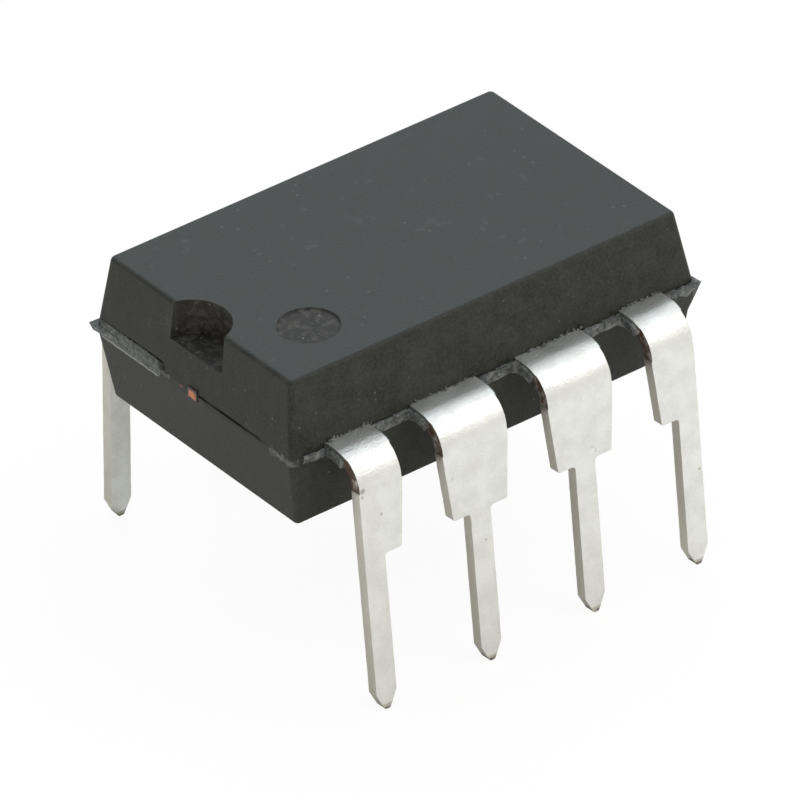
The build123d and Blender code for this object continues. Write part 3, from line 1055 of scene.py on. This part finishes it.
@dataclass
class TornCrumbs:
    """Crumbs of torn resin where the leads leave the body.

    Geometry Nodes set them along the line of each row.  Lengths are in
    millimetres.
    """

    side: float = 3.155
    height: float = 5.595
    pitch: float = 2.54
    count: int = 4
    wide: float = 0.785
    narrow: float = 0.24
    spacing: float = 0.045
    spread: float = 0.028
    smallest: float = 0.014
    largest: float = 0.042
    share: float = 0.62
    seed: int = 5

    def tree(self) -> bpy.types.NodeTree:
        """The node tree that sets crumbs along a path."""
        made = bpy.data.node_groups.new("crumbs along a path", "GeometryNodeTree")
        nodes = Tree(made)
        face = made.interface
        face.new_socket("Path", in_out="INPUT", socket_type="NodeSocketGeometry")
        for name in ("Spacing", "Spread", "Smallest", "Largest", "Share"):
            face.new_socket(name, in_out="INPUT", socket_type="NodeSocketFloat")
        face.new_socket("Seed", in_out="INPUT", socket_type="NodeSocketInt")
        face.new_socket("Finish", in_out="INPUT", socket_type="NodeSocketMaterial")
        face.new_socket("Crumbs", in_out="OUTPUT", socket_type="NodeSocketGeometry")
        given = {s.name: s for s in nodes.add("NodeGroupInput").outputs}
        end = nodes.add("NodeGroupOutput")
        curve = nodes.add("GeometryNodeMeshToCurve")
        nodes.join(given["Path"], curve.inputs["Mesh"])
        points = nodes.add("GeometryNodeCurveToPoints", mode="LENGTH")
        nodes.join(curve.outputs["Curve"], points.inputs["Curve"])
        nodes.join(given["Spacing"], points.inputs["Length"])
        back = nodes.math("MULTIPLY", given["Spread"], -1.0)
        shift = self.random(nodes, "FLOAT_VECTOR", back, given["Spread"], given["Seed"], 0)
        moved = nodes.add("GeometryNodeSetPosition")
        nodes.join(points.outputs["Points"], moved.inputs["Geometry"])
        nodes.join(shift, moved.inputs["Offset"])
        chosen = nodes.add("FunctionNodeRandomValue", data_type="BOOLEAN")
        nodes.join(given["Share"], chosen.inputs["Probability"])
        nodes.join(given["Seed"], chosen.inputs["Seed"])
        crumb = nodes.add("GeometryNodeMeshIcoSphere")
        crumb.inputs["Radius"].default_value = 1.0
        crumb.inputs["Subdivisions"].default_value = 1
        placed = nodes.add("GeometryNodeInstanceOnPoints")
        nodes.join(moved.outputs["Geometry"], placed.inputs["Points"])
        nodes.join(next(s for s in chosen.outputs if s.type == "BOOLEAN"),
                   placed.inputs["Selection"])
        nodes.join(crumb.outputs["Mesh"], placed.inputs["Instance"])
        turn = self.random(nodes, "FLOAT_VECTOR", 0.0, math.tau, given["Seed"], 1)
        nodes.join(turn, placed.inputs["Rotation"])
        size = self.random(nodes, "FLOAT_VECTOR", given["Smallest"], given["Largest"],
                           given["Seed"], 2)
        nodes.join(size, placed.inputs["Scale"])
        real = nodes.add("GeometryNodeRealizeInstances")
        nodes.join(placed.outputs["Instances"], real.inputs["Geometry"])
        dressed = nodes.add("GeometryNodeSetMaterial")
        nodes.join(real.outputs["Geometry"], dressed.inputs["Geometry"])
        nodes.join(given["Finish"], dressed.inputs["Material"])
        nodes.join(dressed.outputs["Geometry"], end.inputs["Crumbs"])
        return made

    @staticmethod
    def random(nodes: Tree, kind: str, low: object, high: object, seed: bpy.types.NodeSocket,
               step: int) -> bpy.types.NodeSocket:
        """A random vector for each point.

        Args:
            nodes: The tree.
            kind: Data type of the random value.
            low: Lowest value of each part.
            high: Highest value of each part.
            seed: The tree's seed.
            step: Keeps the draws of one tree apart.

        Returns:
            The random vector's socket.
        """
        node = nodes.add("FunctionNodeRandomValue", data_type=kind)
        ends = [s for s in node.inputs if s.type == "VECTOR"]
        for socket, value in zip(ends, (low, high)):
            nodes.feed(socket, (value,) * 3 if isinstance(value, float) else value)
        nodes.join(nodes.math("ADD", seed, step), node.inputs["Seed"])
        return next(s for s in node.outputs if s.type == "VECTOR")

    def paths(self) -> bpy.types.Object:
        """An object with one line of edges along each row, in metres."""
        mesh = bmesh.new()
        for row in Row:
            for column in range(self.count):
                centre = (column - (self.count - 1) / 2) * self.pitch
                left = centre - (self.wide if column > 0 else self.narrow)
                right = centre + (self.wide if column < self.count - 1 else self.narrow)
                ends = [mesh.verts.new((-row.value * x * MM, row.value * self.side * MM,
                                        self.height * MM)) for x in (left, right)]
                mesh.edges.new(ends)
        data = bpy.data.meshes.new("crumb_paths")
        mesh.to_mesh(data)
        mesh.free()
        thing = bpy.data.objects.new("moulded_body_crumbs", data)
        bpy.context.scene.collection.objects.link(thing)
        return thing

    def make(self) -> bpy.types.Object:
        """Builds the crumbs as one plain mesh on the body."""
        crumbs = self.paths()
        modifier = crumbs.modifiers.new("crumbs", "NODES")
        modifier.node_group = self.tree()
        values = {"Spacing": self.spacing * MM, "Spread": self.spread * MM,
                  "Smallest": self.smallest * MM, "Largest": self.largest * MM,
                  "Share": self.share, "Seed": self.seed, "Finish": BROKEN_RESIN.make()}
        for item in modifier.node_group.interface.items_tree:
            if item.in_out == "INPUT" and item.name in values:
                modifier[item.identifier] = values[item.name]
        graph = bpy.context.evaluated_depsgraph_get()
        plain = bpy.data.meshes.new_from_object(crumbs.evaluated_get(graph), depsgraph=graph)
        crumbs.modifiers.clear()
        crumbs.data = plain
        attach(crumbs, BODY)
        log.info("piece %s: %d vertices", crumbs.name, len(plain.vertices))
        return crumbs


@dataclass
class InnerParts:
    """What the body holds: CAD shapes that only need their finishes."""

    finishes: dict[str, Finish] = field(default_factory=lambda: {
        "die_paddle": COPPER, "die_attach": ADHESIVE, "silicon_die": SILICON})

    def dress(self) -> None:
        """Gives each inner node its finish."""
        wires = {name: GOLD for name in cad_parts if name.startswith("bond_wire")}
        for name, finish in {**self.finishes, **wires}.items():
            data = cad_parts[name].data
            data.materials.clear()
            data.materials.append(finish.make())
            log.info("node %s: %s", name, finish.name)


@dataclass
class Studio:
    """Table, lamps, surroundings and camera."""

    floor_size: float = 4.0
    floor_colour: Colour = (0.94, 0.91, 0.86)
    floor_glow: float = 0.93
    low_light: float = 0.46
    high_light: float = 0.92
    low_colour: Colour = (1.0, 0.965, 0.90)
    high_colour: Colour = (0.88, 0.95, 1.0)
    azimuth: float = -35.931
    elevation: float = 33.574
    roll: float = -2.411
    distance: float = 257.46
    lens: float = 595.98
    target: tuple[float, float, float] = (0.009, 0.0, 3.214)

    def make_floor(self) -> None:
        """A plain pale table top at the lead tips, clear when seen from below."""
        mesh = bmesh.new()
        bmesh.ops.create_grid(mesh, x_segments=1, y_segments=1, size=self.floor_size / 2)
        data = bpy.data.meshes.new("table_top")
        mesh.to_mesh(data)
        mesh.free()
        floor = bpy.data.objects.new("table_top", data)
        bpy.context.scene.collection.objects.link(floor)
        material = bpy.data.materials.new("table top")
        material.use_nodes = True
        tree = Tree(material.node_tree)
        output = tree.add("ShaderNodeOutputMaterial")
        plain = tree.add("ShaderNodeBsdfDiffuse")
        plain.inputs["Color"].default_value = (*self.floor_colour, 1.0)
        glow = tree.add("ShaderNodeEmission")
        glow.inputs["Color"].default_value = (1.0, 1.0, 1.0, 1.0)
        path = tree.add("ShaderNodeLightPath")
        seen = tree.math("MULTIPLY", path.outputs["Is Camera Ray"], self.floor_glow)
        blend = tree.add("ShaderNodeMixShader")
        tree.join(seen, blend.inputs[0])
        tree.join(plain.outputs[0], blend.inputs[1])
        tree.join(glow.outputs[0], blend.inputs[2])
        clear = tree.add("ShaderNodeBsdfTransparent")
        facing = tree.add("ShaderNodeNewGeometry")
        below = tree.add("ShaderNodeMixShader")
        tree.join(facing.outputs["Backfacing"], below.inputs[0])
        tree.join(blend.outputs[0], below.inputs[1])
        tree.join(clear.outputs[0], below.inputs[2])
        tree.join(below.outputs[0], output.inputs["Surface"])
        data.materials.append(material)

    def make_world(self) -> None:
        """White surroundings."""
        world = bpy.data.worlds.new("surroundings")
        bpy.context.scene.world = world
        world.use_nodes = True
        tree = Tree(world.node_tree)
        output = tree.add("ShaderNodeOutputWorld")
        soft = tree.add("ShaderNodeBackground")
        place = tree.add("ShaderNodeTexCoord")
        height = tree.split(place.outputs["Generated"])[2]
        light = tree.ramp(height, -0.05, 0.85, self.low_light, self.high_light)
        tree.join(light, soft.inputs["Strength"])
        tint = tree.mix(tree.ramp(height, 0.0, 0.9), self.low_colour, self.high_colour)
        tree.join(tint, soft.inputs["Color"])
        white = tree.add("ShaderNodeBackground")
        path = tree.add("ShaderNodeLightPath")
        blend = tree.add("ShaderNodeMixShader")
        tree.join(path.outputs["Is Camera Ray"], blend.inputs[0])
        tree.join(soft.outputs[0], blend.inputs[1])
        tree.join(white.outputs[0], blend.inputs[2])
        tree.join(blend.outputs[0], output.inputs["Surface"])

    def make_lamp(self, name: str, direction: Vector, distance: float, size: float,
                  power: float, colour: Colour) -> None:
        """A square soft box aimed at the package.

        Args:
            name: Name of the lamp.
            direction: Where it stands, seen from the package.
            distance: How far, in metres.
            size: Side of the box, in metres.
            power: Watts.
            colour: Its colour.
        """
        data = bpy.data.lights.new(name, "AREA")
        data.size, data.energy, data.color = size, power, colour
        lamp = bpy.data.objects.new(name, data)
        bpy.context.scene.collection.objects.link(lamp)
        lamp.location = Vector((0, 0, self.target[2] * MM)) + direction.normalized() * distance
        lamp.rotation_mode = "QUATERNION"
        lamp.rotation_quaternion = direction.to_track_quat("Z", "Y")

    def make_lamps(self) -> None:
        """A key over the front right and a broad top light."""
        self.make_lamp("key_box", Vector((0.49, -0.55, 0.68)), 0.30, 0.24, 0.35, (1.0, 0.98, 0.97))
        self.make_lamp("top_box", Vector((0.45, 0.8, 0.62)), 0.32, 0.34, 0.60, (0.80, 0.90, 1.0))

    def make_camera(self) -> None:
        """A long lens from the front left, rolled slightly."""
        data = bpy.data.cameras.new("camera")
        data.sensor_width, data.lens = 36.0, self.lens
        data.clip_start, data.clip_end = 0.01, 10.0
        camera = bpy.data.objects.new("camera", data)
        bpy.context.scene.collection.objects.link(camera)
        a, e = math.radians(self.azimuth), math.radians(self.elevation)
        back = Vector((math.sin(a) * math.cos(e), -math.cos(a) * math.cos(e), math.sin(e)))
        right = Vector((math.cos(a), math.sin(a), 0.0))
        up = back.cross(right)
        turn = Matrix.Rotation(math.radians(self.roll), 3, back)
        right, up = turn @ right, turn @ up
        pose = Matrix((right, up, back)).transposed().to_4x4()
        pose.translation = (Vector(self.target) + back * self.distance) * MM
        camera.matrix_world = pose
        bpy.context.scene.camera = camera

    def make(self) -> None:
        """Sets up the whole studio."""
        bpy.context.scene.view_settings.view_transform = "Standard"
        self.make_floor()
        self.make_world()
        self.make_lamps()
        self.make_camera()


def main() -> None:
    """Builds the looks."""
    logging.basicConfig(level=logging.INFO, format="%(name)s: %(message)s")
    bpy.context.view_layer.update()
    MouldedBody().make()
    TornCrumbs().make()
    LeadSheet().make_all()
    InnerParts().dress()
    Studio().make()


if __name__ == "__main__":
    main()
